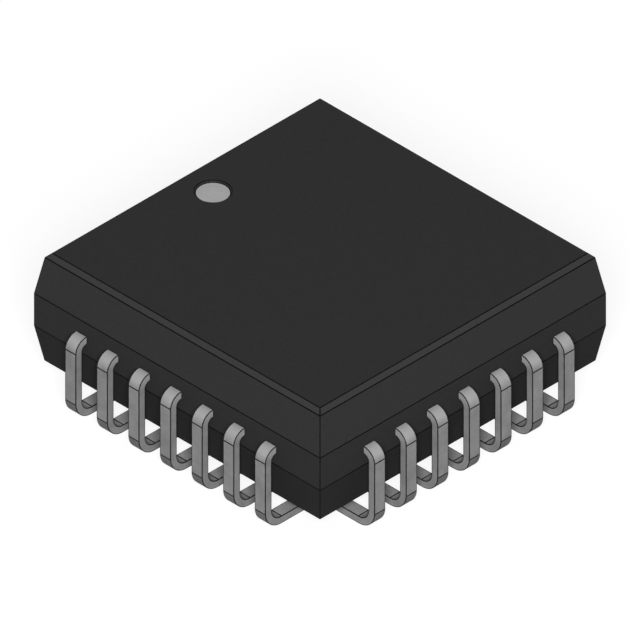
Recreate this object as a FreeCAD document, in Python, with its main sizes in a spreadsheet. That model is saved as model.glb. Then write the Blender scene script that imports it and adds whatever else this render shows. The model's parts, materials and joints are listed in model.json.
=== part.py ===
import FreeCAD, Part
import math
import os
import types

import Sketcher

# A J-leaded plastic chip carrier with seven bent leads a side.
# Millimetres, +Z up, origin at the centre of the seating plane, first lead towards -X.
# Each row of leads is drawn as the one on the -Y side and turned about Z to its own side.

DRIVING_SIZES = {
    # leads, outside the moulding
    "leads_per_side": 7,
    "lead_pitch": 1.27,
    "lead_width": 0.43,
    "lead_thickness": 0.25,
    "lead_span": 12.44,
    "shoulder_radius": 0.18,
    "heel_radius": 0.385,
    "tip_radius": 0.30,
    "tip_angle": 35,
    "tip_length": 0.12,
    "tip_clearance": 0.22,
    "leg_gap": 0.22,
    # leads, inside the moulding
    "wall_cover": 0.35,
    "finger_root_width": 0.75,
    "finger_end_width": 0.36,
    "finger_tie_gap": 0.31,
    # moulding, from the seating plane up
    "standoff": 0.87,
    "lower_height": 1.22,
    "band_height": 1.12,
    "upper_height": 1.40,
    "draft_angle": 9.8,
    "top_chamfer": 0.15,
    # round mark by the first lead
    "mark_diameter": 1.08,
    "mark_depth": 0.07,
    "mark_inset": 1.45,
    "ink_clearance": 0.02,
    "ink_thickness": 0.02,
    # underside of the moulding
    "pocket_clearance": 0.08,
    "pocket_depth": 0.30,
    "ejector_diameter": 2.0,
    "ejector_depth": 0.05,
    # paddle that carries the die
    "paddle_side": 5.20,
    "paddle_gap": 0.30,
    "paddle_drop": 0.30,
    "tie_bar_width": 0.35,
    "tie_bar_cover": 0.40,
    "tie_bar_flat": 0.25,
    # die, its adhesive and its wires
    "attach_thickness": 0.03,
    "attach_margin": 0.10,
    "die_side": 3.60,
    "die_thickness": 0.38,
    "bond_inset": 0.15,
    "bond_corner_inset": 0.36,
    "wire_diameter": 0.032,
    "wire_facets": 6,
    "wire_rise": 0.15,
    "stitch_inset": 0.20,
}

# Sides in the order of the lead numbers, which run counter-clockwise seen from above.
SIDE_TURNS = {"west": 270, "south": 0, "east": 90, "north": 180}
Z_DIRECTION = FreeCAD.Vector(0, 0, 1)


class Size:
    """A number together with the sheet expression that gives it."""

    def __init__(self, number, text):
        self.number = number
        self.text = text

    @staticmethod
    def of(value):
        if isinstance(value, Size):
            return value
        return Size(value, str(value))

    def join(self, other, sign, number):
        return Size(number, f"({self.text} {sign} {Size.of(other).text})")

    def __add__(self, other):
        return self.join(other, "+", self.number + Size.of(other).number)

    def __sub__(self, other):
        return self.join(other, "-", self.number - Size.of(other).number)

    def __mul__(self, other):
        return self.join(other, "*", self.number * Size.of(other).number)

    def __truediv__(self, other):
        return self.join(other, "/", self.number / Size.of(other).number)

    def __neg__(self):
        return Size(-self.number, f"(0 - {self.text})")

    def sine(self):
        return Size(math.sin(math.radians(self.number)), f"sin({self.text})")

    def cosine(self):
        return Size(math.cos(math.radians(self.number)), f"cos({self.text})")

    def tangent(self):
        return Size(math.tan(math.radians(self.number)), f"tan({self.text})")

    def root(self):
        return Size(math.sqrt(self.number), f"sqrt({self.text})")


def make_sheet(doc):
    """Put the driving sizes in a sheet, each under its own name."""
    sheet = doc.addObject("Spreadsheet::Sheet", "sizes")
    for row, (alias, number) in enumerate(DRIVING_SIZES.items(), start=1):
        sheet.set(f"A{row}", alias)
        sheet.set(f"B{row}", str(number))
        sheet.setAlias(f"B{row}", alias)
    doc.recompute()
    return sheet


def read_sizes(sheet):
    """Read the sheet, and work out the levels and distances that several pieces share."""
    s = types.SimpleNamespace()
    for alias in DRIVING_SIZES:
        setattr(s, alias, Size(sheet.get(alias), f"sizes.{alias}"))
    add_outside_sizes(s)
    add_inside_sizes(s)
    return s


def add_outside_sizes(s):
    """Levels of the moulding, its half width, and the places of the lead's bends."""
    s.band_bottom = s.standoff + s.lower_height
    s.band_top = s.band_bottom + s.band_height
    s.body_top = s.band_top + s.upper_height
    s.half_span = s.lead_span / 2
    s.half_body = s.half_span - s.lead_thickness - s.leg_gap
    s.lead_top = s.band_bottom + s.band_height / 2 + s.lead_thickness / 2
    s.lead_bottom = s.lead_top - s.lead_thickness
    s.half_count = (s.leads_per_side - 1) / 2
    s.tip_end = s.half_count * s.lead_pitch + s.lead_width / 2 + s.tip_clearance
    s.tip_centre = s.tip_radius + s.lead_thickness
    s.tip_start = s.tip_end + s.tip_centre * s.tip_angle.sine() + s.tip_length * s.tip_angle.cosine()
    s.mark_offset = s.half_body - s.mark_inset


def add_inside_sizes(s):
    """Levels of the paddle and the die, and the pitches of the finger ends and the bonds."""
    s.paddle_bottom = s.lead_bottom - s.paddle_drop
    s.attach_bottom = s.paddle_bottom + s.lead_thickness
    s.die_bottom = s.attach_bottom + s.attach_thickness
    s.die_top = s.die_bottom + s.die_thickness
    s.finger_root = s.half_body - s.wall_cover
    s.finger_end = s.paddle_side / 2 + s.paddle_gap
    s.diagonal = Size.of(2).root()
    tie_bar_edge = s.finger_end - s.tie_bar_width / 2 * s.diagonal
    last_finger = tie_bar_edge - s.finger_tie_gap - s.finger_end_width / 2
    s.finger_end_pitch = last_finger / s.half_count
    s.bond_pitch = (s.die_side / 2 - s.bond_corner_inset) / s.half_count


def place_in_row(s, index, pitch):
    """Distance of a lead from the middle of its row, at a given pitch."""
    return pitch * index - pitch * s.half_count


def origin_feature(body, role):
    return next(item for item in body.Origin.OriginFeatures if item.Role == role)


def sketch_on(body, name, role, level=None):
    """Start a sketch on one of the body's own planes, moved along the plane's normal."""
    sketch = body.newObject("Sketcher::SketchObject", name)
    sketch.AttachmentSupport = [(origin_feature(body, role), "")]
    sketch.MapMode = "FlatFace"
    if level is not None:
        sketch.setExpression("AttachmentOffset.Base.z", level.text)
    return sketch


def hold(sketch, kind, element, value):
    """Tie one measure of a sketch to the sheet."""
    index = sketch.addConstraint(Sketcher.Constraint(kind, *element, value.number))
    sketch.setExpression(f"Constraints[{index}]", value.text)


def hold_point(sketch, geometry, point, x, y):
    hold(sketch, "DistanceX", (-1, 1, geometry, point), x)
    hold(sketch, "DistanceY", (-1, 1, geometry, point), y)


def point_at(x, y):
    return FreeCAD.Vector(x.number, y.number, 0)


def draw_bend(sketch, x, y, radius, first, last):
    """Draw one round bend and give, for each of its ends, its place and its number.

    The outline comes on to the bend at the angle first and leaves it at the angle last.
    """
    circle = Part.Circle(point_at(x, y), Z_DIRECTION, radius.number)
    low, high = sorted((first.number, last.number))
    arc = Part.ArcOfCircle(circle, math.radians(low), math.radians(high))
    geometry = sketch.addGeometry(arc, False)
    hold_point(sketch, geometry, 3, x, y)
    hold(sketch, "Radius", (geometry,), radius)
    if first.number < last.number:
        return geometry, (arc.StartPoint, 1), (arc.EndPoint, 2)
    return geometry, (arc.EndPoint, 2), (arc.StartPoint, 1)


def draw_outline(sketch, marks):
    """Draw a closed outline through sharp corners (x, y) and round bends.

    A bend is (x, y, radius, first, last), as draw_bend takes it. Straight lines join the marks
    and touch the bends.
    """
    stops = []
    for mark in marks:
        if len(mark) == 2:
            spot = point_at(*mark)
            stops.append((None, (spot, 0), (spot, 0)))
        else:
            stops.append(draw_bend(sketch, *mark))
    lines = []
    for here, there in zip(stops, stops[1:] + stops[:1]):
        segment = Part.LineSegment(here[2][0], there[1][0])
        lines.append(sketch.addGeometry(segment, False))
    for number, (mark, stop) in enumerate(zip(marks, stops)):
        line_in = lines[number - 1]
        line_out = lines[number]
        arc, (_, enters), (_, leaves) = stop
        if arc is None:
            sketch.addConstraint(Sketcher.Constraint("Coincident", line_in, 2, line_out, 1))
            hold_point(sketch, line_out, 1, *mark)
        else:
            sketch.addConstraint(Sketcher.Constraint("Tangent", line_in, 2, arc, enters))
            sketch.addConstraint(Sketcher.Constraint("Tangent", arc, leaves, line_out, 1))


def draw_box(sketch, left, right, near, far):
    draw_outline(sketch, [(left, near), (right, near), (right, far), (left, far)])


def draw_circle(sketch, x, y, diameter):
    circle = Part.Circle(point_at(x, y), Z_DIRECTION, diameter.number / 2)
    geometry = sketch.addGeometry(circle, False)
    hold_point(sketch, geometry, 3, x, y)
    hold(sketch, "Diameter", (geometry,), diameter)


def extrude(body, kind, sketch, length, reverse=False, both_sides=False):
    """Pad or pocket a sketch of the body and make it the body's last feature."""
    feature = body.newObject(f"PartDesign::{kind}", f"{sketch.Name}_{kind.lower()}")
    feature.Profile = sketch
    feature.setExpression("Length", length.text)
    feature.Reversed = reverse
    if both_sides:
        feature.SideType = "Symmetric"
    body.Tip = feature
    return feature


def repeat_round(body, feature):
    """Repeat a feature in quarter turns about the vertical axis."""
    pattern = body.newObject("PartDesign::PolarPattern", f"{feature.Name}_turned")
    pattern.Originals = [feature]
    pattern.Axis = (origin_feature(body, "Z_Axis"), [""])
    pattern.Angle = 360
    pattern.Occurrences = len(SIDE_TURNS)
    body.Tip = pattern


def turned(angle):
    return FreeCAD.Placement(FreeCAD.Vector(), FreeCAD.Rotation(Z_DIRECTION, angle))


def strip_outline(s):
    """Side of the bent strip: shoulder, leg, heel, flat foot and turned-up tip."""
    shoulder = s.shoulder_radius + s.lead_thickness
    shoulder_at = (shoulder - s.half_span, s.lead_top - shoulder)
    heel = s.heel_radius + s.lead_thickness
    heel_at = (heel - s.half_span, heel)
    tip_at = (-s.tip_start, s.tip_centre)
    up, out, down = Size.of(90), Size.of(180), Size.of(270)
    tip_turn = down + s.tip_angle
    end_y = -s.tip_end
    end_z = s.tip_centre - s.tip_centre * s.tip_angle.cosine() + s.tip_length * s.tip_angle.sine()
    end_top_y = end_y - s.lead_thickness * s.tip_angle.sine()
    end_top_z = end_z + s.lead_thickness * s.tip_angle.cosine()
    return [
        (-s.finger_root, s.lead_top),
        (*shoulder_at, shoulder, up, out),
        (*heel_at, heel, out, down),
        (*tip_at, s.tip_centre, down, tip_turn),
        (end_y, end_z),
        (end_top_y, end_top_z),
        (*tip_at, s.tip_radius, tip_turn, down),
        (*heel_at, s.heel_radius, down, out),
        (*shoulder_at, s.shoulder_radius, out, up),
        (-s.finger_root, s.lead_bottom),
    ]


def finger_outline(s, index):
    """Plan of the flat finger: a root wider than the lead, which locks it in the moulding, and a
    taper towards the paddle."""
    outside = place_in_row(s, index, s.lead_pitch)
    inside = place_in_row(s, index, s.finger_end_pitch)
    root = s.finger_root_width / 2
    end = s.finger_end_width / 2
    return [
        (outside - root, -s.finger_root),
        (outside + root, -s.finger_root),
        (inside + end, -s.finger_end),
        (inside - end, -s.finger_end),
    ]


def make_lead(doc, s, name, index, turn):
    """One lead: the bent strip outside and its flat finger inside the moulding."""
    body = doc.addObject("PartDesign::Body", name)
    strip = sketch_on(body, f"{name}_strip", "YZ_Plane", place_in_row(s, index, s.lead_pitch))
    draw_outline(strip, strip_outline(s))
    extrude(body, "Pad", strip, s.lead_width, both_sides=True)
    finger = sketch_on(body, f"{name}_finger", "XY_Plane", s.lead_bottom)
    draw_outline(finger, finger_outline(s, index))
    extrude(body, "Pad", finger, s.lead_thickness)
    body.Placement = turned(turn)
    return body


def make_leads(doc, s):
    """All leads, by side, numbered from the middle of the west side."""
    count = int(s.leads_per_side.number)
    rows = {}
    for order, (side, turn) in enumerate(SIDE_TURNS.items()):
        rows[side] = []
        for index in range(count):
            number = (order * count + index - count // 2) % (len(SIDE_TURNS) * count) + 1
            rows[side].append(make_lead(doc, s, f"lead_{number:02d}", index, turn))
    return rows


def tie_bar_outline(s):
    """Side of a tie bar, which climbs from the dropped paddle to the level of the leads."""
    corner = s.paddle_side / 2 * s.diagonal
    start = corner - s.tie_bar_width
    climb = corner + s.tie_bar_flat
    level = climb + s.paddle_drop
    end = s.half_body * s.diagonal - s.tie_bar_cover
    return [
        (start, s.paddle_bottom),
        (climb, s.paddle_bottom),
        (level, s.lead_bottom),
        (end, s.lead_bottom),
        (end, s.lead_top),
        (level, s.lead_top),
        (climb, s.attach_bottom),
        (start, s.attach_bottom),
    ]


def make_paddle(doc, s):
    """Square plate under the die, with a cranked tie bar at each corner."""
    body = doc.addObject("PartDesign::Body", "die_paddle")
    half = s.paddle_side / 2
    plate = sketch_on(body, "paddle_plate", "XY_Plane", s.paddle_bottom)
    draw_box(plate, -half, half, -half, half)
    extrude(body, "Pad", plate, s.lead_thickness)
    bar = sketch_on(body, "tie_bar", "XZ_Plane")
    corner_turn = FreeCAD.Rotation(FreeCAD.Vector(0, 1, 0), 45)
    bar.AttachmentOffset = FreeCAD.Placement(FreeCAD.Vector(), corner_turn)
    draw_outline(bar, tie_bar_outline(s))
    first_bar = extrude(body, "Pad", bar, s.tie_bar_width, both_sides=True)
    repeat_round(body, first_bar)
    return body


def make_slab(doc, name, side, height, bottom):
    """A square slab centred on the vertical axis."""
    slab = doc.addObject("Part::Box", name)
    slab.setExpression("Length", side.text)
    slab.setExpression("Width", side.text)
    slab.setExpression("Height", height.text)
    slab.setExpression("Placement.Base.x", (-side / 2).text)
    slab.setExpression("Placement.Base.y", (-side / 2).text)
    slab.setExpression("Placement.Base.z", bottom.text)
    return slab


def wire_section(s, start, end):
    """Section of a wire: a circle in a few flats, two of them level when the wire lies down."""
    run = FreeCAD.Vector(end.x - start.x, end.y - start.y, 0)
    count = int(s.wire_facets.number)
    step = 360 / count
    first = math.degrees(math.atan2(run.y, run.x)) + step / 2
    reach = s.wire_diameter.number / 2 / math.cos(math.radians(step / 2))
    corners = []
    for number in range(count + 1):
        angle = math.radians(first + step * number)
        corners.append(start + FreeCAD.Vector(math.cos(angle), math.sin(angle), 0) * reach)
    return Part.makePolygon(corners)


def wire_solid(s, index, lead_shape):
    """One wire: straight up from the die, then down to its finger, where it lies flat."""
    start_x = place_in_row(s, index, s.bond_pitch).number
    start_y = (s.bond_inset - s.die_side / 2).number
    end_x = place_in_row(s, index, s.finger_end_pitch).number
    end_y = (-s.finger_end - s.stitch_inset).number
    start = FreeCAD.Vector(start_x, start_y, s.die_top.number)
    knee_level = max(s.die_top.number, s.lead_top.number) + s.wire_rise.number
    knee = FreeCAD.Vector(start_x, start_y, knee_level)
    end = FreeCAD.Vector(end_x, end_y, s.lead_top.number)
    path = Part.makePolygon([start, knee, end])
    mitred = 1
    wire = path.makePipeShell([wire_section(s, start, end)], True, False, mitred)
    return wire.cut(lead_shape).Solids[0]


def make_wires(doc, s, side, turn, row):
    """The wires of one side, each a solid of its own."""
    solids = []
    for index, lead in enumerate(row):
        lead_shape = lead.Shape.copy()
        lead_shape.Placement = FreeCAD.Placement()
        solids.append(wire_solid(s, index, lead_shape))
    wires = doc.addObject("Part::Feature", f"bond_wires_{side}")
    wires.Shape = Part.Compound(solids)
    wires.Placement = turned(turn)
    return wires


def side_waste(s, side):
    """What is trimmed off one side of the square block, above and below the parting band."""
    slope = s.draft_angle.tangent()
    chamfer_level = s.body_top - s.top_chamfer
    chamfer_edge = s.half_body - (s.upper_height - s.top_chamfer) * slope
    top_edge = chamfer_edge - s.top_chamfer
    bottom_edge = s.half_body - s.lower_height * slope
    above = [
        (s.half_body * side, s.band_top),
        (chamfer_edge * side, chamfer_level),
        (top_edge * side, s.body_top),
        (s.half_body * side, s.body_top),
    ]
    below = [
        (s.half_body * side, s.band_bottom),
        (s.half_body * side, s.standoff),
        (bottom_edge * side, s.standoff),
    ]
    return [above, below]


def trim_sides(body, s, name, role):
    """Give two opposite sides of the block their draft and their top chamfer."""
    sketch = sketch_on(body, name, role)
    for side in (-1, 1):
        for outline in side_waste(s, side):
            draw_outline(sketch, outline)
    right_through = s.lead_span * 2
    extrude(body, "Pocket", sketch, right_through, both_sides=True)


def add_tip_pockets(body, s):
    """Shallow pockets in the underside, one over each lead tip."""
    sketch = sketch_on(body, "tip_pockets", "XY_Plane", s.standoff)
    half = s.lead_width / 2 + s.pocket_clearance
    for index in range(int(s.leads_per_side.number)):
        middle = place_in_row(s, index, s.lead_pitch)
        near = -s.tip_start - s.pocket_clearance
        far = -s.tip_end + s.pocket_clearance
        draw_box(sketch, middle - half, middle + half, near, far)
    pockets = extrude(body, "Pocket", sketch, s.pocket_depth, reverse=True)
    repeat_round(body, pockets)


def make_block(doc, s):
    """The moulded block as it looks from outside, solid all through."""
    body = doc.addObject("PartDesign::Body", "moulded_block")
    square = sketch_on(body, "square", "XY_Plane", s.standoff)
    draw_box(square, -s.half_body, s.half_body, -s.half_body, s.half_body)
    extrude(body, "Pad", square, s.body_top - s.standoff)
    trim_sides(body, s, "front_and_back", "YZ_Plane")
    trim_sides(body, s, "left_and_right", "XZ_Plane")
    mark = sketch_on(body, "mark_recess", "XY_Plane", s.body_top)
    draw_circle(mark, -s.mark_offset, Size.of(0), s.mark_diameter)
    extrude(body, "Pocket", mark, s.mark_depth)
    ejector = sketch_on(body, "ejector_mark", "XY_Plane", s.standoff)
    draw_circle(ejector, Size.of(0), Size.of(0), s.ejector_diameter)
    extrude(body, "Pocket", ejector, s.ejector_depth, reverse=True)
    add_tip_pockets(body, s)
    return body


def make_ink(doc, s):
    """Thin round spot of ink on the floor of the recess by the first lead."""
    ink = doc.addObject("Part::Cylinder", "pin_one_dot")
    ink.setExpression("Radius", (s.mark_diameter / 2 - s.ink_clearance).text)
    ink.setExpression("Height", s.ink_thickness.text)
    ink.setExpression("Placement.Base.x", (-s.mark_offset).text)
    ink.setExpression("Placement.Base.z", (s.body_top - s.mark_depth).text)
    return ink


def make_moulding(doc, block, contents):
    """The moulded body, with a cavity that each enclosed piece fills exactly."""
    enclosed = doc.addObject("Part::Compound", "enclosed_pieces")
    enclosed.Links = contents
    moulding = doc.addObject("Part::Cut", "moulded_body")
    moulding.Base = block
    moulding.Tool = enclosed
    return moulding


def build(doc):
    s = read_sizes(make_sheet(doc))
    rows = make_leads(doc, s)
    leads = [lead for row in rows.values() for lead in row]
    paddle = make_paddle(doc, s)
    attach_side = s.die_side + s.attach_margin * 2
    attach = make_slab(doc, "die_attach", attach_side, s.attach_thickness, s.attach_bottom)
    die = make_slab(doc, "die", s.die_side, s.die_thickness, s.die_bottom)
    doc.recompute()
    wires = [make_wires(doc, s, side, SIDE_TURNS[side], row) for side, row in rows.items()]
    contents = leads + [paddle, attach, die] + wires
    moulding = make_moulding(doc, make_block(doc, s), contents)
    ink = make_ink(doc, s)
    doc.recompute()
    return [moulding, ink] + contents


def check(doc, parts):
    """Stop before anything is written if an object failed or a shape is unsound."""
    for item in doc.Objects:
        if "Invalid" in item.State or "Error" in item.State:
            raise RuntimeError(f"{item.Label} failed: {item.State}")
    for part in parts:
        if part.Shape.isNull() or not part.Shape.isValid():
            raise RuntimeError(f"{part.Label} has no sound shape")


def main():
    doc = FreeCAD.newDocument("chip_carrier")
    parts = build(doc)
    check(doc, parts)
    os.makedirs("parts", exist_ok=True)
    for part in parts:
        part.Shape.exportStep(f"parts/{part.Label}.step")
        print(part.Label, len(part.Shape.Solids), round(part.Shape.Volume, 5))


main()
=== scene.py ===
import json
import math

import bpy
from mathutils import Matrix, Vector

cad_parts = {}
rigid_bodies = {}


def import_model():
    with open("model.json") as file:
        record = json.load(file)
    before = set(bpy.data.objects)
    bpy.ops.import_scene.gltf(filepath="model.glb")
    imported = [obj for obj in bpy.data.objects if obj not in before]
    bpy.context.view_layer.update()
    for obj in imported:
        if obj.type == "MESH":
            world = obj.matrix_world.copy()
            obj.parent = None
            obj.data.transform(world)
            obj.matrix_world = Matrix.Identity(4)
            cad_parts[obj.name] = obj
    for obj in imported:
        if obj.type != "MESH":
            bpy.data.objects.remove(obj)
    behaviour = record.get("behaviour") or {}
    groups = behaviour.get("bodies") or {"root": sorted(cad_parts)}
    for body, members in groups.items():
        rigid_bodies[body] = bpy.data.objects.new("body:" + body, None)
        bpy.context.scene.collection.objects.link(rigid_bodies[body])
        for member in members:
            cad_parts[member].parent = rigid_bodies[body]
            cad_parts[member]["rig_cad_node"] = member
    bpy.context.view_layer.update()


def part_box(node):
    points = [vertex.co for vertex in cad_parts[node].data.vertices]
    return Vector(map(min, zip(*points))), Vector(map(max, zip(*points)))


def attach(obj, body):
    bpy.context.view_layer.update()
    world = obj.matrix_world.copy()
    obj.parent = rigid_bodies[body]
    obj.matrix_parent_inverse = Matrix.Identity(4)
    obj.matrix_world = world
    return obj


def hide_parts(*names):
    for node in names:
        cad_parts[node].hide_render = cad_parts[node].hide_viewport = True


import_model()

# A chip carrier: a black moulded block on seven J-bent leads a side, dressed over its solids.
# Metres, +Z up, origin at the centre of the seating plane, first lead towards -X.

MM = 0.001

# corners closer together than this are one
MERGE = 1e-7

# point that lies at a different distance from every edge and face
ORDER_POINT = (11 * MM, 17 * MM, 23 * MM)

# edges where the surface turns by more than this are sharp
SHARP = math.radians(30)

# leads, outside the moulding
LEADS_PER_SIDE = 7
LEAD_PITCH = 1.27 * MM
LEAD_WIDTH = 0.43 * MM
LEAD_THICKNESS = 0.25 * MM
SHOULDER_RADIUS = 0.18 * MM
HEEL_RADIUS = 0.385 * MM
TIP_RADIUS = 0.30 * MM
TIP_ANGLE = 35
TIP_LENGTH = 0.12 * MM
TIP_CLEARANCE = 0.22 * MM
BEND_STEP = 7.5
CREASE_WIDTH = 0.045 * MM

# leads, inside the moulding
FINGER_ROOT_WIDTH = 0.75 * MM
FINGER_END_WIDTH = 0.36 * MM
WALL_COVER = 0.35 * MM

# moulding
TOP_CHAMFER = 0.15 * MM
DRAFT_ANGLE = 9.8
BAND_BOTTOM = 2.09 * MM
BAND_TOP = 3.21 * MM
MARK_DIAMETER = 1.08 * MM
MARK_DEPTH = 0.07 * MM
MARK_RIM = 0.03 * MM
EJECTOR_DIAMETER = 2.0 * MM
EJECTOR_DEPTH = 0.05 * MM
POCKET_CLEARANCE = 0.08 * MM
POCKET_DEPTH = 0.30 * MM
POCKET_CORNER = 0.06 * MM
ROUND_SIDES = 96

# rounded rim of a hole, and how far its cutter stands out of the face that it opens
RIM_EDGE = 0.012 * MM
CUTTER_REACH = 4 * RIM_EDGE

# how far the room of a piece goes down into that of the piece it rests on
ROOM_OVERLAP = 0.002 * MM

# spot of ink in the recess
INK_RIM = 0.034 * MM
INK_DISH = 0.006 * MM
INK_ROUND = 0.01 * MM

# die, its adhesive, its wires, and the paddle under it
BOND_INSET = 0.15 * MM
BOND_CORNER_INSET = 0.36 * MM
PAD_SIDE = 0.10 * MM
SCRIBE_WIDTH = 0.05 * MM
SCRIBE_DEPTH = 0.006 * MM
GLUE_EDGE = 0.02 * MM
WIRE_RADIUS = 0.016 * MM
WIRE_SIDES = 12
WIRE_RISE = 0.15 * MM
LOOP_RADIUS = 0.09 * MM
BALL_DIAMETER = 0.075 * MM
BALL_HEIGHT = 0.022 * MM
BALL_ROUND = 0.009 * MM
STITCH_INSET = 0.20 * MM
STITCH_SPREAD = 1.7
STITCH_FLATNESS = 0.35
PADDLE_EDGE = 0.015 * MM
SILVER_SPOT = 7.0 * MM

# dark line along each edge, on both of its faces, and the rounding of the edge itself
LEAD_LINE = 0.025 * MM
BODY_LINE = 0.021 * MM
EDGE_RADIUS = 0.006 * MM

# Sides in the order of the lead numbers, which run counter-clockwise seen from above.
SIDE_TURNS = {"west": 270, "south": 0, "east": 90, "north": 180}

# levels and distances of the solids
BLOCK_LOW, BLOCK_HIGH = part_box("moulded_body")
LEAD_LOW, LEAD_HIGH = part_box("lead_08")
CORNER_LEAD_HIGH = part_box("lead_05")[1]
INK_LOW, INK_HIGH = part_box("pin_one_dot")
DIE_LOW, DIE_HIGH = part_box("die")
GLUE_LOW, GLUE_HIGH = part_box("die_attach")
HALF_BODY = BLOCK_HIGH[0]
BODY_TOP = BLOCK_HIGH[2]
STANDOFF = BLOCK_LOW[2]
HALF_SPAN = -LEAD_LOW[1]
FINGER_END = -LEAD_HIGH[1]
LEAD_TOP = LEAD_HIGH[2]
FINGER_ROOT = HALF_BODY - WALL_COVER
HALF_COUNT = (LEADS_PER_SIDE - 1) / 2
HALF_ROW = HALF_COUNT * LEAD_PITCH
FINGER_END_PITCH = (FINGER_END_WIDTH / 2 - CORNER_LEAD_HIGH[0]) / HALF_COUNT
TIP_TURN = math.radians(TIP_ANGLE)
TIP_CENTRE = TIP_RADIUS + LEAD_THICKNESS
TIP_END = HALF_ROW + LEAD_WIDTH / 2 + TIP_CLEARANCE
TIP_START = TIP_END + TIP_CENTRE * math.sin(TIP_TURN) + TIP_LENGTH * math.cos(TIP_TURN)
SHOULDER = SHOULDER_RADIUS + LEAD_THICKNESS
SHOULDER_Y = SHOULDER - HALF_SPAN
SHOULDER_LOW = LEAD_TOP - SHOULDER
HEEL = HEEL_RADIUS + LEAD_THICKNESS
HEEL_Y = HEEL - HALF_SPAN
MARK_CENTRE = (Vector(INK_LOW) + Vector(INK_HIGH)) / 2

BOND_Y = BOND_INSET - DIE_HIGH[0]
BOND_PITCH = (DIE_HIGH[0] - BOND_CORNER_INSET) / HALF_COUNT
DIE_TOP = DIE_HIGH[2]
WIRE_KNEE = max(DIE_TOP, LEAD_TOP) + WIRE_RISE
WIRE_RUN = BOND_Y + FINGER_END + STITCH_INSET
WIRE_FALL = math.atan2(WIRE_KNEE - LEAD_TOP, WIRE_RUN)

# places of the finishes in each kind of piece's list, after its main finish at 0
EDGE = 1
BARE_STRIP, HEEL_PAINTED_SHADE, FOOT_PAINTED_LIGHT = 2, 3, 4
# moulding places: painted light on upper sides, chamfer and band, painted shade on lower sides
LIT_UPPER_SIDES, SHADED_LOWER_SIDES, LIT_CHAMFER, LIT_BAND = 2, 3, 4, 5
BOND_PAD = 1

# tones of the finishes, from 0 for black to 1 for white, in the order of their places
# upper sides, chamfer and band: lighter copies as painted light; lower sides: darker, painted
# shade
MOULD_TONES = {
    "mould_compound": 0.0188,
    "mould_edge": 0.003,
    "mould_upper_sides_painted_light": 0.0243,
    "mould_lower_sides_painted_shade": 0.0166,
    "mould_chamfer_painted_light": 0.0283,
    "mould_band_painted_light": 0.0217,
}
# heel: a darker copy of the tin as painted shade; top of the foot: a lighter copy as painted light
TIN_TONES = {"tinned_lead": 0.172, "tin_edge": 0.015, "tin_heel_painted_shade": 0.118, "tin_foot_painted_light": 0.208}

# finishes inside the moulding by darkest and lightest colour, grain, roughness and metal share
INNER_FINISHES = {
    "bond_pad": ((0.78, 0.78, 0.78), (0.86, 0.86, 0.86), 0.02 * MM, 0.3, 1),
    "die_adhesive": ((0.42, 0.42, 0.42), (0.55, 0.55, 0.55), 0.03 * MM, 0.5, 0.6),
    "bond_wire_gold": ((0.8, 0.52, 0.16), (0.9, 0.62, 0.24), 0.02 * MM, 0.25, 1),
}

# how far a painted highlight lifts the tone of the shoulder towards its top
PAINTED_HIGHLIGHT = 0.65

# sizes of what shows in the finishes
BLOTCH = 0.5 * MM
EPOXY_GRAIN = 0.045 * MM
TIN_GRAIN = 0.03 * MM
INK_BLOTCH = 0.15 * MM
ROLLING_STREAK = 0.3 * MM
STREAK_STRETCH = 8
CIRCUIT_BLOCK = 0.4 * MM
CIRCUIT_TRACK = 0.02 * MM

# levels of a noise pattern between which tones and other values follow it
TONE_LOW, TONE_HIGH = 0.35, 0.65
VALUE_LOW, VALUE_HIGH = 0.3, 0.7

# camera, which looks along a corner of the cube as an isometric drawing does
CAMERA_AZIMUTH = 45
CAMERA_ELEVATION = 35.264
CAMERA_DISTANCE = 0.25
CAMERA_AIM = (0, 0, 2.276 * MM)
CAMERA_WIDTH = 18.188 * MM

# lamps by azimuth, elevation, level, width and height; at level 1 a colour renders as written
LAMP_DISTANCE = 0.4
LAMPS = {
    "key": (45, 33, 1.74, 0.11, 0.11),
    "left": (-60, 7, 0.06, 0.3, 0.07),
    "right": (150, 7, 0.06, 0.3, 0.07),
    "back_left": (255, 7, 0.45, 0.3, 0.07),
    "back_right": (195, 7, 0.45, 0.3, 0.07),
}
SKY_LEVEL = 0.09
FLOOR_SIZE = 0.5
FLOOR_SHADE = 0.12
FLOOR_WHITE = 0.95
FLOOR_GLOW = 0.85


def mode(name):
    bpy.ops.object.mode_set(mode=name)


def deselect_all():
    """Leave edit mode, if it is on, and select nothing."""
    if bpy.context.mode != "OBJECT":
        mode("OBJECT")
    bpy.ops.object.select_all(action="DESELECT")


def use(*objects):
    """Make these objects the only selected ones, with the first one active."""
    deselect_all()
    for item in objects:
        item.select_set(True)
    bpy.context.view_layer.objects.active = objects[0]


def pick(obj, kind, test):
    """In edit mode, select the faces, edges or vertices that pass a test."""
    use(obj)
    mode("EDIT")
    bpy.ops.mesh.select_mode(type=kind)
    bpy.ops.mesh.select_all(action="DESELECT")
    mode("OBJECT")
    mesh = obj.data
    items = {"VERT": mesh.vertices, "EDGE": mesh.edges, "FACE": mesh.polygons}[kind]
    for item in items:
        item.select = test(item)
    mode("EDIT")


def anywhere(item):
    return True


def near(a, b, slack=MERGE):
    return abs(a - b) < slack


def faces_up(face):
    return face.normal.z > 0.99


def is_upright(mesh, edge):
    start, end = (mesh.vertices[index].co for index in edge.vertices)
    return near(start.x, end.x) and near(start.y, end.y)


def rename(obj, name):
    """Give a piece and its mesh the same name, and hand the piece back."""
    obj.name = name
    obj.data.name = name
    return obj


def fix_place():
    """Write the place, turn and size of the selected piece into its mesh."""
    bpy.ops.object.transform_apply(location=True, rotation=True, scale=True)


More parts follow.
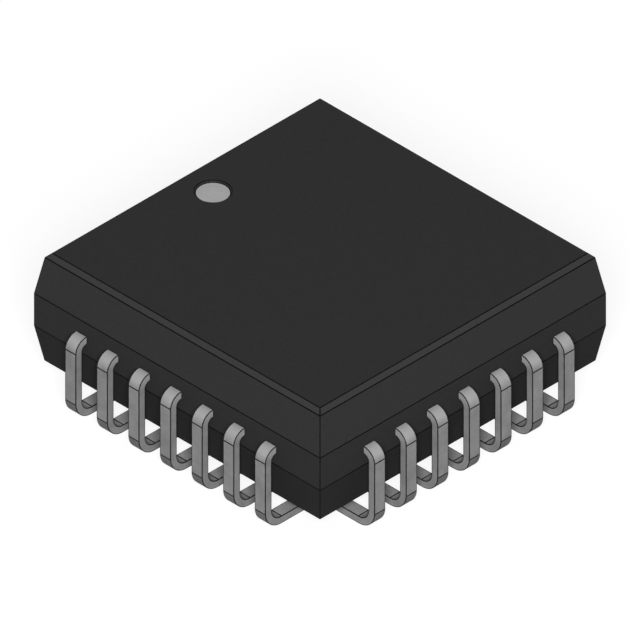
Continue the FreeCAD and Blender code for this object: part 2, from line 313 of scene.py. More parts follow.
def add_block(name, low, high):
    """A box between two corners, with its place in its mesh."""
    low, high = Vector(low), Vector(high)
    deselect_all()
    bpy.ops.mesh.primitive_cube_add(size=1, location=(low + high) / 2)
    bpy.context.object.scale = high - low
    fix_place()
    return rename(bpy.context.object, name)


def add_round(name, centre, diameter, low, high, sides=ROUND_SIDES):
    """An upright cylinder between two levels, with its place in its mesh."""
    place = (centre[0], centre[1], (low + high) / 2)
    deselect_all()
    bpy.ops.mesh.primitive_cylinder_add(
        vertices=sides, radius=diameter / 2, depth=high - low, location=place
    )
    fix_place()
    return rename(bpy.context.object, name)


def copy_piece(obj, name):
    use(obj)
    bpy.ops.object.duplicate(linked=False)
    return rename(bpy.context.object, name)


def join(pieces, name):
    """Make one piece of several, under a new name."""
    use(*pieces)
    if len(pieces) > 1:
        bpy.ops.object.join()
    return rename(pieces[0], name)


def discard(obj):
    bpy.data.objects.remove(obj, do_unlink=True)


def settle(obj, matrix):
    """Put a piece where a matrix takes it, with its place in its mesh."""
    obj.matrix_world = matrix
    use(obj)
    fix_place()


def turn_to_side(obj, offset, degrees):
    """Move a piece along its row, and turn the row to its own side."""
    turn = Matrix.Rotation(math.radians(degrees), 4, "Z")
    settle(obj, turn @ Matrix.Translation((offset, 0, 0)))


def merge(obj):
    """Merge the corners that lie on each other."""
    pick(obj, "VERT", anywhere)
    bpy.ops.mesh.remove_doubles(threshold=MERGE)
    mode("OBJECT")


def put_in_order(obj):
    """Number edges and faces by their distance from a point.

    Extruding numbers them in another way on each run, and a cut depends on their numbers.
    """
    pick(obj, "FACE", anywhere)
    bpy.context.scene.cursor.location = ORDER_POINT
    bpy.ops.mesh.sort_elements(type="CURSOR_DISTANCE", elements={"EDGE", "FACE"})
    mode("OBJECT")


def split(point, across):
    """Cut the selected faces along a plane, also where it passes close to another edge."""
    bpy.ops.mesh.bisect(plane_co=point, plane_no=across, threshold=MERGE)


def extrude(step):
    bpy.ops.mesh.extrude_region_move(TRANSFORM_OT_translate={"value": step})


def move(step):
    """Move what is selected."""
    bpy.ops.transform.translate(value=step)


def scale(factors, centre=(0, 0, 0)):
    """Scale what is selected about a centre."""
    bpy.ops.transform.resize(value=factors, center_override=centre)


def bend(centre_y, centre_z, degrees):
    """Spin the selected end face about an axis along X."""
    bpy.ops.mesh.spin(
        steps=math.ceil(degrees / BEND_STEP), angle=math.radians(-degrees),
        center=(0, centre_y, centre_z), axis=(1, 0, 0)
    )


def give_finish(obj, place, test):
    """Give the faces that pass a test the finish at a place in the piece's list."""
    pick(obj, "FACE", test)
    obj.active_material_index = place
    bpy.ops.object.material_slot_assign()
    mode("OBJECT")


def apply_modifier(obj, kind, **settings):
    use(obj)
    modifier = obj.modifiers.new(kind.lower(), kind)
    for key, value in settings.items():
        setattr(modifier, key, value)
    bpy.ops.object.modifier_apply(modifier=modifier.name)


def cut_with(obj, cutter):
    """Cut one piece out of another, and delete the cutter."""
    apply_modifier(obj, "BOOLEAN", operation="DIFFERENCE", solver="EXACT", object=cutter)
    discard(cutter)


def line_edges(obj, width):
    """Set off a narrow strip on both faces of every sharp edge, and give it the edge finish."""
    apply_modifier(
        obj, "BEVEL", width=width, segments=2, profile=1.0, limit_method="ANGLE",
        angle_limit=SHARP, material=EDGE
    )


def round_edges(obj, width=EDGE_RADIUS, finish=EDGE):
    """Take the sharpness off every sharp edge."""
    apply_modifier(
        obj, "BEVEL", width=width, segments=2, limit_method="ANGLE", angle_limit=SHARP,
        material=finish
    )


def shade(obj):
    """Smooth shading that keeps the flat faces flat."""
    use(obj)
    bpy.ops.object.shade_smooth()
    apply_modifier(obj, "WEIGHTED_NORMAL", keep_sharp=False, weight=100)


def paint(obj, *materials):
    """Give a piece its list of finishes."""
    obj.data.materials.clear()
    for material in materials:
        obj.data.materials.append(material)


def finish_piece(obj, slot, *nodes):
    """Let a piece stand for its solids, on the carrier's only body."""
    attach(obj, "root")
    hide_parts(*nodes)


# materials


def start_material(name, **constants):
    """A material whose shader holds the values that are the same all over."""
    material = bpy.data.materials.new(name)
    material.use_nodes = True
    shader = material.node_tree.nodes["Principled BSDF"]
    for socket, value in constants.items():
        shader.inputs[socket.replace("_", " ")].default_value = value
    place = material.node_tree.nodes.new("ShaderNodeTexCoord").outputs["Object"]
    return material, shader, place


def add_noise(material, place, grain, detail):
    """Noise whose grains are about as wide as the length given."""
    noise = material.node_tree.nodes.new("ShaderNodeTexNoise")
    noise.inputs["Scale"].default_value = 1 / grain
    noise.inputs["Detail"].default_value = detail
    noise.inputs["Roughness"].default_value = 0.6
    material.node_tree.links.new(place, noise.inputs["Vector"])
    return noise.outputs["Fac"]


def add_tones(material, pattern, socket, dark, light, low=TONE_LOW, high=TONE_HIGH):
    """Colours from dark to light where a pattern goes from low to high."""
    ramp = material.node_tree.nodes.new("ShaderNodeValToRGB")
    ramp.color_ramp.elements[0].position = low
    ramp.color_ramp.elements[1].position = high
    ramp.color_ramp.elements[0].color = (*dark, 1)
    ramp.color_ramp.elements[1].color = (*light, 1)
    material.node_tree.links.new(pattern, ramp.inputs["Fac"])
    material.node_tree.links.new(ramp.outputs["Color"], socket)


def add_range(material, pattern, socket, least, most):
    """A number from least to most that follows a pattern."""
    spread_out = material.node_tree.nodes.new("ShaderNodeMapRange")
    spread_out.inputs["From Min"].default_value = VALUE_LOW
    spread_out.inputs["From Max"].default_value = VALUE_HIGH
    spread_out.inputs["To Min"].default_value = least
    spread_out.inputs["To Max"].default_value = most
    material.node_tree.links.new(pattern, spread_out.inputs["Value"])
    material.node_tree.links.new(spread_out.outputs["Result"], socket)


def add_relief(material, pattern, socket, height):
    """Bumps of a height that follow a pattern."""
    bump = material.node_tree.nodes.new("ShaderNodeBump")
    bump.inputs["Distance"].default_value = height
    material.node_tree.links.new(pattern, bump.inputs["Height"])
    material.node_tree.links.new(bump.outputs["Normal"], socket)


def add_sum(tree, operation, first, second):
    """What a sum makes of two values, the second of which may be a plain number."""
    node = tree.nodes.new("ShaderNodeMath")
    node.operation = operation
    tree.links.new(first, node.inputs[0])
    if isinstance(second, float):
        node.inputs[1].default_value = second
    else:
        tree.links.new(second, node.inputs[1])
    return node.outputs["Value"]


def grey(tone):
    return (tone, tone, tone)


def epoxy(name, tone):
    """Black epoxy filled with fine silica, from a mould with a fine spark-eroded finish."""
    material, shader, place = start_material(name, Specular_IOR_Level=0.02)
    blotches = add_noise(material, place, BLOTCH, detail=5)
    grains = add_noise(material, place, EPOXY_GRAIN, detail=2)
    add_tones(material, grains, shader.inputs["Base Color"], grey(tone * 0.9), grey(tone * 1.1))
    add_range(material, blotches, shader.inputs["Roughness"], 0.61, 0.64)
    add_relief(material, grains, shader.inputs["Normal"], height=0.0012 * MM)
    return material


def tin(name, tone):
    """Matte tin plate over the copper alloy strip, with a painted highlight over the shoulder."""
    material, shader, place = start_material(name, Metallic=0.15, Specular_IOR_Level=0.05)
    shader.inputs["Specular Tint"].default_value = (*grey(0.2), 1)
    tree = material.node_tree
    grains = add_noise(material, place, TIN_GRAIN, detail=2)
    blotches = add_noise(material, place, BLOTCH, detail=5)
    # painted highlight: the tone rises with height across the shoulder bend
    height = tree.nodes.new("ShaderNodeSeparateXYZ")
    tree.links.new(place, height.inputs["Vector"])
    painted_highlight = tree.nodes.new("ShaderNodeMapRange")
    painted_highlight.interpolation_type = "SMOOTHSTEP"
    painted_highlight.inputs["From Min"].default_value = SHOULDER_LOW
    painted_highlight.inputs["From Max"].default_value = LEAD_TOP
    painted_highlight.inputs["To Max"].default_value = PAINTED_HIGHLIGHT
    tree.links.new(height.outputs["Z"], painted_highlight.inputs["Value"])
    blotches_and_highlight = add_sum(tree, "ADD", blotches, painted_highlight.outputs["Result"])
    add_tones(
        material, blotches_and_highlight, shader.inputs["Base Color"],
        grey(tone * 0.95), grey(tone * 1.5), TONE_LOW, TONE_HIGH + PAINTED_HIGHLIGHT
    )
    add_range(material, grains, shader.inputs["Roughness"], 0.46, 0.58)
    add_relief(material, grains, shader.inputs["Normal"], height=0.001 * MM)
    return material


def ink():
    """Pale grey marking ink, printed and dried."""
    material, shader, place = start_material("marking_ink", Specular_IOR_Level=0.3)
    blotches = add_noise(material, place, INK_BLOTCH, detail=4)
    add_tones(material, blotches, shader.inputs["Base Color"], grey(0.275), grey(0.3))
    add_range(material, blotches, shader.inputs["Roughness"], 0.6, 0.75)
    add_relief(material, blotches, shader.inputs["Normal"], height=0.001 * MM)
    return material


def inner_finish(name, dark, light, grain, roughness, metallic):
    """Finish of a piece that lies inside the moulding."""
    material, shader, place = start_material(name, Metallic=metallic)
    pattern = add_noise(material, place, grain, detail=3)
    add_tones(material, pattern, shader.inputs["Base Color"], dark, light)
    add_range(material, pattern, shader.inputs["Roughness"], roughness * 0.85, roughness * 1.15)
    add_relief(material, pattern, shader.inputs["Normal"], height=0.001 * MM)
    return material


def frame_strip():
    """Rolled copper of the lead frame, with a square spot of silver plate round the die."""
    material, shader, place = start_material("lead_frame_copper", Metallic=1.0)
    tree = material.node_tree
    stretch = tree.nodes.new("ShaderNodeMapping")
    stretch.inputs["Scale"].default_value = (1, STREAK_STRETCH, 1)
    tree.links.new(place, stretch.inputs["Vector"])
    streaks = add_noise(material, stretch.outputs["Vector"], ROLLING_STREAK, detail=4)
    reach = tree.nodes.new("ShaderNodeVectorMath")
    reach.operation = "ABSOLUTE"
    tree.links.new(place, reach.inputs[0])
    parts = tree.nodes.new("ShaderNodeSeparateXYZ")
    tree.links.new(reach.outputs["Vector"], parts.inputs["Vector"])
    further = add_sum(tree, "MAXIMUM", parts.outputs["X"], parts.outputs["Y"])
    outside = add_sum(tree, "GREATER_THAN", further, SILVER_SPOT / 2)
    tones = tree.nodes.new("ShaderNodeMix")
    tones.data_type = "RGBA"
    silver, copper = tones.inputs["A"], tones.inputs["B"]
    tree.links.new(outside, tones.inputs["Factor"])
    add_tones(material, streaks, silver, (0.78, 0.77, 0.75), (0.88, 0.87, 0.85))
    add_tones(material, streaks, copper, (0.62, 0.31, 0.18), (0.72, 0.38, 0.24))
    tree.links.new(tones.outputs["Result"], shader.inputs["Base Color"])
    add_range(material, streaks, shader.inputs["Roughness"], 0.28, 0.42)
    add_relief(material, streaks, shader.inputs["Normal"], height=0.0008 * MM)
    return material


def chip_face():
    """Polished silicon under glass, with the faint blocks of its circuits."""
    material, shader, place = start_material("silicon", Metallic=0.3)
    circuits = material.node_tree.nodes.new("ShaderNodeTexVoronoi")
    circuits.distance = "CHEBYCHEV"
    circuits.inputs["Scale"].default_value = 1 / CIRCUIT_BLOCK
    material.node_tree.links.new(place, circuits.inputs["Vector"])
    tracks = add_noise(material, place, CIRCUIT_TRACK, detail=2)
    add_tones(
        material, circuits.outputs["Distance"], shader.inputs["Base Color"],
        (0.05, 0.055, 0.1), (0.13, 0.11, 0.16), low=0.1, high=0.6
    )
    add_range(material, tracks, shader.inputs["Roughness"], 0.12, 0.22)
    add_relief(material, tracks, shader.inputs["Normal"], height=0.0003 * MM)
    return material


# leads


def is_outer_end(face):
    """Whether a face of the blank is the middle one of its three outer ends."""
    return face.normal.y < -0.99 and near(face.center.x, 0)


def lead_blank():
    """A lead of the -Y row at x = 0, with square edges and a straight finger."""
    low = (-FINGER_ROOT_WIDTH / 2, -FINGER_ROOT, LEAD_TOP - LEAD_THICKNESS)
    high = (FINGER_ROOT_WIDTH / 2, -FINGER_END, LEAD_TOP)
    lead = add_block("lead_blank", low, high)
    for side in (-1, 1):
        pick(lead, "FACE", anywhere)
        split((side * LEAD_WIDTH / 2, 0, 0), (1, 0, 0))
    shoulder_crease = math.degrees(CREASE_WIDTH / SHOULDER)
    heel_crease = math.degrees(CREASE_WIDTH / HEEL)
    # out of the wall, and the shoulder
    pick(lead, "FACE", is_outer_end)
    extrude((0, FINGER_ROOT - HALF_BODY, 0))
    extrude((0, SHOULDER_Y + HALF_BODY, 0))
    bend(SHOULDER_Y, SHOULDER_LOW, 90 - shoulder_crease)
    bend(SHOULDER_Y, SHOULDER_LOW, shoulder_crease)
    # leg and heel
    extrude((0, 0, HEEL - SHOULDER_LOW))
    bend(HEEL_Y, HEEL, heel_crease)
    bend(HEEL_Y, HEEL, 90 - heel_crease)
    # foot and tip
    extrude((0, CREASE_WIDTH, 0))
    extrude((0, -TIP_START - HEEL_Y - CREASE_WIDTH, 0))
    bend(-TIP_START, TIP_CENTRE, TIP_ANGLE)
    extrude((0, TIP_LENGTH * math.cos(TIP_TURN), TIP_LENGTH * math.sin(TIP_TURN)))
    put_in_order(lead)
    return lead


def is_wide(face):
    """Whether a face lies on one of the two wide faces of the strip, not on a cut edge."""
    return near(face.normal.x, 0, 0.1)


def is_crease(face):
    """Whether a face lies where the bending tool pressed the lead, or where it leaves the wall."""
    _, y, z = face.center
    if SHOULDER_Y < y < -HALF_BODY and z > SHOULDER_LOW:
        return True
    shoulder = y < SHOULDER_Y and SHOULDER_LOW < z < SHOULDER_LOW + CREASE_WIDTH
    heel = y < HEEL_Y and HEEL - CREASE_WIDTH < z < HEEL
    foot = HEEL_Y < y < HEEL_Y + CREASE_WIDTH and z < HEEL
    return is_wide(face) and (shoulder or heel or foot)


def is_heel(face):
    """Whether a face lies on the outside of the heel, past its crease; it gets painted shade."""
    _, y, z = face.center
    outside = (face.center - Vector((0, HEEL_Y, HEEL))).yz.length > HEEL - LEAD_THICKNESS / 2
    return outside and is_wide(face) and y < HEEL_Y and z < HEEL - CREASE_WIDTH


def is_foot_top(face):
    """Whether a face lies on top of the foot, where the tin gets painted light."""
    return face.normal.z > 0.5 and face.center.y > HEEL_Y and face.center.z < HEEL


def is_covered(face):
    """Whether a face of a lead lies inside the moulding."""
    x, y, z = face.center
    return z > SHOULDER_LOW and max(abs(x), abs(y)) < HALF_BODY


def taper_finger(lead, shift):
    """Narrow the inner end of the finger, and lead it towards the die."""
    pick(lead, "VERT", lambda vertex: near(vertex.co.y, -FINGER_END))
    scale((FINGER_END_WIDTH / FINGER_ROOT_WIDTH, 1, 1))
    move((shift, 0, 0))
    mode("OBJECT")


def shape_leads(*finishes):
    """All the leads in their places, with square edges, by number."""
    blank = lead_blank()
    paint(blank, *finishes)
    # the creases come last, because some of them lie on the foot
    # painted shade on the outside of the heel, painted light on the top of the foot
    for place, test in ((HEEL_PAINTED_SHADE, is_heel), (FOOT_PAINTED_LIGHT, is_foot_top), (EDGE, is_crease)):
        give_finish(blank, place, test)
    middle = LEADS_PER_SIDE // 2
    leads = {}
    for order, (side, degrees) in enumerate(SIDE_TURNS.items()):
        for index in range(LEADS_PER_SIDE):
            turn_order = order * LEADS_PER_SIDE + index - middle
            number = turn_order % (len(SIDE_TURNS) * LEADS_PER_SIDE) + 1
            lead = copy_piece(blank, f"plated_lead_{number:02d}")
            taper_finger(lead, (index - middle) * (FINGER_END_PITCH - LEAD_PITCH))
            turn_to_side(lead, (index - middle) * LEAD_PITCH, degrees)
            leads[number] = lead
    discard(blank)
    return leads


def finish_leads(leads):
    """Tin plate outside the moulding, and the bare strip inside it."""
    for number, lead in leads.items():
        line_edges(lead, LEAD_LINE)
        round_edges(lead)
        give_finish(lead, BARE_STRIP, is_covered)
        shade(lead)
        finish_piece(lead, "tinned_lead", f"lead_{number:02d}")


# chip, its adhesive, its wires and the paddle


def wire_blank():
    """A wire of the -Y row at x = 0: a ball on the die, a loop, a long fall and a flat stitch."""
    # ball
    ball_top = DIE_TOP + BALL_HEIGHT
    wire = add_round("wire_blank", (0, BOND_Y), BALL_DIAMETER, DIE_TOP, ball_top, WIRE_SIDES)
    pick(wire, "EDGE", lambda edge: not is_upright(wire.data, edge))
    bpy.ops.mesh.bevel(offset=BALL_ROUND, segments=2)
    # rise and loop
    pick(wire, "FACE", faces_up)
    extrude((0, 0, 0))
    neck = WIRE_RADIUS / (BALL_DIAMETER / 2 - BALL_ROUND)
    scale((neck, neck, 1), (0, BOND_Y, 0))
    turn = math.degrees(WIRE_FALL) + 90
    tangent = LOOP_RADIUS * math.tan(math.radians(turn) / 2)
    extrude((0, 0, WIRE_KNEE - tangent - ball_top))
    bend(BOND_Y - LOOP_RADIUS, WIRE_KNEE - tangent, turn)
    # fall to the finger
    fall = WIRE_KNEE - LEAD_TOP - WIRE_RADIUS
    landing_y = BOND_Y - fall / math.tan(WIRE_FALL)
    loop_out, loop_down = tangent * math.cos(WIRE_FALL), tangent * math.sin(WIRE_FALL)
    extrude((0, landing_y - BOND_Y + loop_out, loop_down - fall))
    # stitch, whose underside lies flat on the finger
    stitch = Vector((0, BOND_Y - WIRE_RUN, LEAD_TOP + WIRE_RADIUS * STITCH_FLATNESS))
    extrude((0, stitch.y - landing_y, stitch.z - LEAD_TOP - WIRE_RADIUS))
    scale((STITCH_SPREAD, 1, STITCH_FLATNESS), stitch)
    pick(wire, "VERT", lambda vertex: vertex.co.z < LEAD_TOP + WIRE_RADIUS / 4)
    scale((1, 1, 0), (0, 0, LEAD_TOP))
    put_in_order(wire)
    return wire


def make_wires(gold):
    """The wires of each side, each from its own bond pad to its own finger."""
    blank = wire_blank()
    paint(blank, gold)
    wires = []
    for index in range(LEADS_PER_SIDE):
        place = index - HALF_COUNT
        drift = place * (FINGER_END_PITCH - BOND_PITCH)
        wires.append(copy_piece(blank, f"gold_wire_{index}"))
        pick(wires[-1], "VERT", lambda vertex: vertex.co.y < BOND_Y - WIRE_RUN / 2)
        move((0, WIRE_RUN - math.hypot(WIRE_RUN, drift), 0))
        mode("OBJECT")
        swing = Matrix.Rotation(math.atan2(drift, WIRE_RUN), 4, "Z")
        pad = Matrix.Translation((place * BOND_PITCH, BOND_Y, 0))
        settle(wires[-1], pad @ swing @ Matrix.Translation((0, -BOND_Y, 0)))
    discard(blank)
    row = join(wires, "gold_wires")
    rows = []
    for side, degrees in SIDE_TURNS.items():
        rows.append(copy_piece(row, f"gold_wires_{side}"))
        turn_to_side(rows[-1], 0, degrees)
        bpy.ops.object.shade_smooth_by_angle(angle=SHARP)
        finish_piece(rows[-1], "bond_wire_gold", f"bond_wires_{side}")
    discard(row)
    return rows


def is_sawn(vertex):
    """Whether a corner of the die's top lies on its outer edge, where it was sawn."""
    reach = max(abs(vertex.co.x), abs(vertex.co.y))
    return near(vertex.co.z, DIE_TOP) and near(reach, DIE_HIGH[0], SCRIBE_WIDTH / 2)


def is_glass(face):
    """Whether a face lies on the die's top, inside its sawn edge."""
    return near(face.center.z, DIE_TOP, SCRIBE_DEPTH / 4)


def is_pad(face):
    """Whether a face of the die lies where a ball is bonded."""
    nearer, further = sorted((abs(face.center.x), abs(face.center.y)))
    offset = nearer - round(nearer / BOND_PITCH) * BOND_PITCH
    in_row = near(further, -BOND_Y, PAD_SIDE / 4) and near(offset, 0, PAD_SIDE / 4)
    return is_glass(face) and in_row


def make_chip(*finishes):
    """The chip, with its sawn edge lower than its glass, and a bond pad for each wire."""
    chip = add_block("silicon_chip", DIE_LOW, DIE_HIGH)
    paint(chip, *finishes)
    pick(chip, "FACE", faces_up)
    bpy.ops.mesh.inset(thickness=SCRIBE_WIDTH)
    pick(chip, "VERT", is_sawn)
    move((0, 0, -SCRIBE_DEPTH))
    pad_middles = [(index - HALF_COUNT) * BOND_PITCH for index in range(LEADS_PER_SIDE)]
    for middle in pad_middles + [BOND_Y, -BOND_Y]:
        for edge in (middle - PAD_SIDE / 2, middle + PAD_SIDE / 2):
            for across in ((1, 0, 0), (0, 1, 0)):
                pick(chip, "FACE", is_glass)
                split((edge, edge, 0), across)
    mode("OBJECT")
    give_finish(chip, BOND_PAD, is_pad)
    finish_piece(chip, "silicon", "die")
    return chip


def make_paddle(finish):
    """The plate under the die, with its tie bars, and its stamped edges broken."""
    paddle = copy_piece(bpy.data.objects["die_paddle"], "stamped_paddle")
    del paddle["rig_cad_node"]
    paint(paddle, finish)
    bpy.ops.mesh.customdata_custom_splitnormals_clear()
    merge(paddle)
    pick(paddle, "FACE", anywhere)
    bpy.ops.mesh.dissolve_limited(angle_limit=math.radians(1))
    round_edges(paddle, PADDLE_EDGE, finish=0)
    shade(paddle)
    finish_piece(paddle, "lead_frame_copper", "die_paddle")
    return paddle


def make_glue(finish):
    """Bed of adhesive under the die, rounded where it was squeezed out."""
    glue = add_block("glue_bed", GLUE_LOW, GLUE_HIGH)
    paint(glue, finish)
    pick(glue, "FACE", faces_up)
    bpy.ops.mesh.bevel(offset=GLUE_EDGE, segments=4)
    mode("OBJECT")
    shade(glue)
    finish_piece(glue, "die_adhesive", "die_attach")
    return glue


# moulding and its mark


def draft_sides(block):
    """Slope the sides above and below the band, chamfer the top, and paint light and shade on
    them.
    """
    slope = math.tan(math.radians(DRAFT_ANGLE))
    chamfer_level = BODY_TOP - TOP_CHAMFER
    chamfer_edge = HALF_BODY - (chamfer_level - BAND_TOP) * slope
    edges = {
        STANDOFF: HALF_BODY - (BAND_BOTTOM - STANDOFF) * slope,
        chamfer_level: chamfer_edge,
        BODY_TOP: chamfer_edge - TOP_CHAMFER,
    }
    for level in (BAND_BOTTOM, BAND_TOP, chamfer_level):
        pick(block, "FACE", anywhere)
        split((0, 0, level), (0, 0, 1))
    for level, edge in edges.items():
        pick(block, "VERT", lambda vertex: near(vertex.co.z, level))
        scale((edge / HALF_BODY, edge / HALF_BODY, 1))
    # painted light on the upper sides, chamfer and band, painted shade on the lower sides
    stretches = {
        LIT_UPPER_SIDES: (BAND_TOP, chamfer_level),
        SHADED_LOWER_SIDES: (STANDOFF + RIM_EDGE, BAND_BOTTOM),
        LIT_CHAMFER: (chamfer_level, BODY_TOP - RIM_EDGE),
        LIT_BAND: (BAND_BOTTOM, BAND_TOP),
    }
    for place, (low, high) in stretches.items():
        give_finish(block, place, lambda face: low < face.center.z < high)


def flare_rim(cutter, mouth, out, width=RIM_EDGE):
    """Widen a cutter over its last stretch, so that the rim of its hole is rounded off."""
    pick(cutter, "FACE", lambda face: near(face.center.z, mouth - out * RIM_EDGE))
    low = Vector(min(vertex.co[axis] for vertex in cutter.data.vertices) for axis in range(3))
    high = Vector(max(vertex.co[axis] for vertex in cutter.data.vertices) for axis in range(3))
    size = high - low
    extrude((0, 0, out * RIM_EDGE))
    scale((1 + width * 2 / size.x, 1 + width * 2 / size.y, 1), (low + high) / 2)
    extrude((0, 0, out * CUTTER_REACH))
    put_in_order(cutter)
    rim = mouth - out * RIM_EDGE / 2
    give_finish(cutter, EDGE, lambda face: near(face.center.z, rim, RIM_EDGE / 4))


def cut_marks(block, finishes):
    """The round recess by the first lead, and the ejector's mark in the underside."""
    recess = add_round(
        "mark_cutter", MARK_CENTRE, MARK_DIAMETER, BODY_TOP - MARK_DEPTH, BODY_TOP - RIM_EDGE
    )
    paint(recess, *finishes)
    flare_rim(recess, BODY_TOP, 1, MARK_RIM)
    cut_with(block, recess)
    ejector = add_round(
        "ejector_cutter", (0, 0), EJECTOR_DIAMETER, STANDOFF + RIM_EDGE, STANDOFF + EJECTOR_DEPTH
    )
    paint(ejector, *finishes)
    flare_rim(ejector, STANDOFF, -1)
    cut_with(block, ejector)


def pocket_cutter(finishes):
    """Boxes that leave the shallow pockets over the lead tips, with rounded corners."""
    middle = -(TIP_START + TIP_END) / 2
    half_length = (TIP_START - TIP_END) / 2 + POCKET_CLEARANCE
    half_width = LEAD_WIDTH / 2 + POCKET_CLEARANCE
    low = (-half_width - HALF_ROW, middle - half_length, STANDOFF + RIM_EDGE)
    high = (half_width - HALF_ROW, middle + half_length, STANDOFF + POCKET_DEPTH)
    row = add_block("pocket_cutter", low, high)
    paint(row, *finishes)
    pick(row, "EDGE", lambda edge: is_upright(row.data, edge))
    bpy.ops.mesh.bevel(offset=POCKET_CORNER, segments=4)
    mode("OBJECT")
    flare_rim(row, STANDOFF, -1)
    apply_modifier(
        row, "ARRAY", count=LEADS_PER_SIDE, use_relative_offset=False, use_constant_offset=True,
        constant_offset_displace=(LEAD_PITCH, 0, 0)
    )
    # the first row stays on its own side, where the turn is 0
    rows = [row]
    for side, degrees in SIDE_TURNS.items():
        if degrees:
            rows.append(copy_piece(row, f"pocket_cutter_{side}"))
            turn_to_side(rows[-1], 0, degrees)
    return join(rows, "pocket_cutter")


def cut_room(block, pieces, contact_heights):
    """The room that some pieces fill, which opens into the rooms of the pieces they rest on."""
    cutter = join([copy_piece(piece, "room_cutter") for piece in pieces], "room_cutter")
    merge(cutter)
    pick(cutter, "FACE", anywhere)
    bpy.ops.mesh.quads_convert_to_tris()
    for height in contact_heights:
        pick(cutter, "VERT", lambda vertex: near(vertex.co.z, height))
        move((0, 0, -ROOM_OVERLAP))
    cut_with(block, cutter)


def make_moulding(finishes, contents):
    """The block with its draft, recess, pockets and rooms."""
    low = (-HALF_BODY, -HALF_BODY, STANDOFF)
    high = (HALF_BODY, HALF_BODY, BODY_TOP)
    block = add_block("moulding", low, high)
    paint(block, *finishes)
    draft_sides(block)
    pick(block, "EDGE", anywhere)
    bpy.ops.mesh.bevel(offset=BODY_LINE, segments=2, profile=1.0, material=EDGE)
    mode("OBJECT")
    round_edges(block)
    cut_marks(block, finishes)
    cut_with(block, pocket_cutter(finishes))
    for pieces, *contact_heights in contents:
        cut_room(block, pieces, contact_heights)
    merge(block)
    shade(block)
    finish_piece(block, "mould_compound", "moulded_body")


def is_rim(mesh, edge, radius):
    """Whether an edge lies along the top of the round piece's side."""
    corners = [mesh.vertices[index].co for index in edge.vertices]
    return all(
        near(corner.z, INK_HIGH[2]) and near((corner - MARK_CENTRE).xy.length, radius, INK_RIM / 2)
        for corner in corners
    )


def make_dot(*finishes):
    """Spot of ink on the floor of the recess, dished as it dried, with a thin dark rim."""
    radius = (INK_HIGH[0] - INK_LOW[0]) / 2
    dot = add_round("ink_dot", MARK_CENTRE, radius * 2, INK_LOW[2], INK_HIGH[2])
    paint(dot, *finishes)
    pick(dot, "FACE", faces_up)
    bpy.ops.mesh.inset(thickness=INK_RIM)
    move((0, 0, -INK_DISH))
    pick(dot, "EDGE", lambda edge: is_rim(dot.data, edge, radius))
    bpy.ops.mesh.bevel(offset=INK_ROUND, segments=3)
    mode("OBJECT")
    give_finish(dot, EDGE, lambda face: (face.center - MARK_CENTRE).xy.length > radius - INK_RIM)
    shade(dot)
    finish_piece(dot, "marking_ink", "pin_one_dot")


# studio


def seen_directly(tree):
    """1 for rays from the camera, mirror rays and rays through glass."""
    path = tree.nodes.new("ShaderNodeLightPath")
    total = path.outputs["Is Camera Ray"]
    for name in ("Is Glossy Ray", "Is Transmission Ray"):
        total = add_sum(tree, "MAXIMUM", total, path.outputs[name])
    return total


def end_with_mix(tree, output_kind, share, first, second):
    """Show a share of the second shader, and the first one for the rest."""
    mix = tree.nodes.new("ShaderNodeMixShader")
    tree.links.new(share, mix.inputs[0])
    tree.links.new(first, mix.inputs[1])
    tree.links.new(second, mix.inputs[2])
    output = tree.nodes.new(output_kind)
    tree.links.new(mix.outputs["Shader"], output.inputs["Surface"])


def make_floor():
    """White floor that glows where it is seen, and throws little light on the piece."""
    deselect_all()
    bpy.ops.mesh.primitive_plane_add(size=FLOOR_SIZE)
    floor = bpy.context.object
    floor.name = "studio_floor"
    material = bpy.data.materials.new("pale_floor")
    material.use_nodes = True
    tree = material.node_tree
    tree.nodes.clear()
    seen = seen_directly(tree)
    tone = tree.nodes.new("ShaderNodeMapRange")
    tone.inputs["To Min"].default_value = FLOOR_SHADE
    tone.inputs["To Max"].default_value = FLOOR_WHITE
    tree.links.new(seen, tone.inputs["Value"])
    board = tree.nodes.new("ShaderNodeBsdfDiffuse")
    tree.links.new(tone.outputs["Result"], board.inputs["Color"])
    glow = tree.nodes.new("ShaderNodeEmission").outputs["Emission"]
    share = add_sum(tree, "MULTIPLY", seen, FLOOR_GLOW)
    end_with_mix(tree, "ShaderNodeOutputMaterial", share, board.outputs["BSDF"], glow)
    paint(floor, material)


def make_sky():
    """White sky where it is seen, and a faint even light elsewhere."""
    world = bpy.data.worlds.new("studio")
    bpy.context.scene.world = world
    world.use_nodes = True
    tree = world.node_tree
    tree.nodes.clear()
    soft = tree.nodes.new("ShaderNodeBackground")
    soft.inputs["Strength"].default_value = SKY_LEVEL
    white = tree.nodes.new("ShaderNodeBackground")
    for background in (soft, white):
        background.inputs["Color"].default_value = (1, 1, 1, 1)
    end_with_mix(
        tree, "ShaderNodeOutputWorld", seen_directly(tree),
        soft.outputs["Background"], white.outputs["Background"]
    )


def direction(azimuth, elevation):
    """Unit vector from the object towards a place round it."""
    turn, lift = math.radians(azimuth), math.radians(elevation)
    reach = math.cos(lift)
    return Vector((math.sin(turn) * reach, -math.cos(turn) * reach, math.sin(lift)))


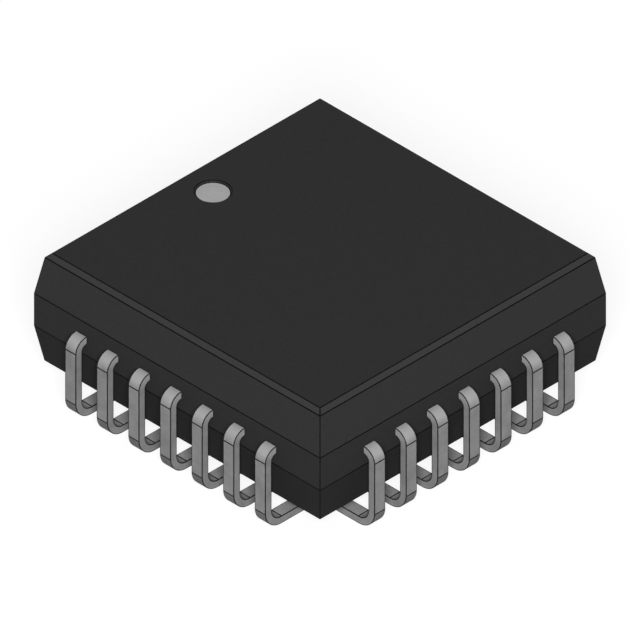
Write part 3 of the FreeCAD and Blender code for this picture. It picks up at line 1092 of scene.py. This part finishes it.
def aim(obj, azimuth, elevation, distance):
    """Put a camera or a lamp round the object, and let it look at the object."""
    back = direction(azimuth, elevation)
    obj.location = Vector(CAMERA_AIM) + back * distance
    obj.rotation_euler = back.to_track_quat("Z", "Y").to_euler()


def add_lamp(name, azimuth, elevation, level, width, height):
    """A soft box that gives the level at the object where a face looks straight at it."""
    lamp = bpy.data.lights.new(name, "AREA")
    lamp.shape = "RECTANGLE"
    lamp.size = width
    lamp.size_y = height
    # a soft box of power P gives a white face the level P / (pi * distance) ** 2
    lamp.energy = level * math.pi ** 2 * LAMP_DISTANCE ** 2
    obj = bpy.data.objects.new(name, lamp)
    bpy.context.collection.objects.link(obj)
    aim(obj, azimuth, elevation, LAMP_DISTANCE)


def add_camera():
    lens = bpy.data.cameras.new("camera")
    lens.type = "ORTHO"
    lens.ortho_scale = CAMERA_WIDTH
    lens.clip_start = 1 * MM
    camera = bpy.data.objects.new("camera", lens)
    bpy.context.collection.objects.link(camera)
    aim(camera, CAMERA_AZIMUTH, CAMERA_ELEVATION, CAMERA_DISTANCE)
    bpy.context.scene.camera = camera


def main():
    bpy.context.scene.view_settings.view_transform = "Standard"
    add_camera()
    for name, settings in LAMPS.items():
        add_lamp(name, *settings)
    make_sky()
    make_floor()

    mould_finishes = [epoxy(name, tone) for name, tone in MOULD_TONES.items()]
    tin_finishes = [tin(name, tone) for name, tone in TIN_TONES.items()]
    # heel holds painted shade, foot painted light
    plate, plate_edge, heel, foot = tin_finishes
    bare_strip = frame_strip()
    inner_finishes = [inner_finish(name, *values) for name, values in INNER_FINISHES.items()]
    aluminium, adhesive, gold = inner_finishes

    paddle = make_paddle(bare_strip)
    chip = make_chip(chip_face(), aluminium)
    glue = make_glue(adhesive)
    wires = make_wires(gold)
    leads = shape_leads(plate, plate_edge, bare_strip, heel, foot)

    # what the block encloses, each with the heights at which it rests on what was there before
    contents = (
        (leads.values(),),
        ([paddle],),
        ([glue], GLUE_LOW[2]),
        ([chip], DIE_LOW[2]),
        (wires, DIE_TOP, LEAD_TOP),
    )
    make_moulding(mould_finishes, contents)
    make_dot(ink(), mould_finishes[EDGE])
    finish_leads(leads)


main()
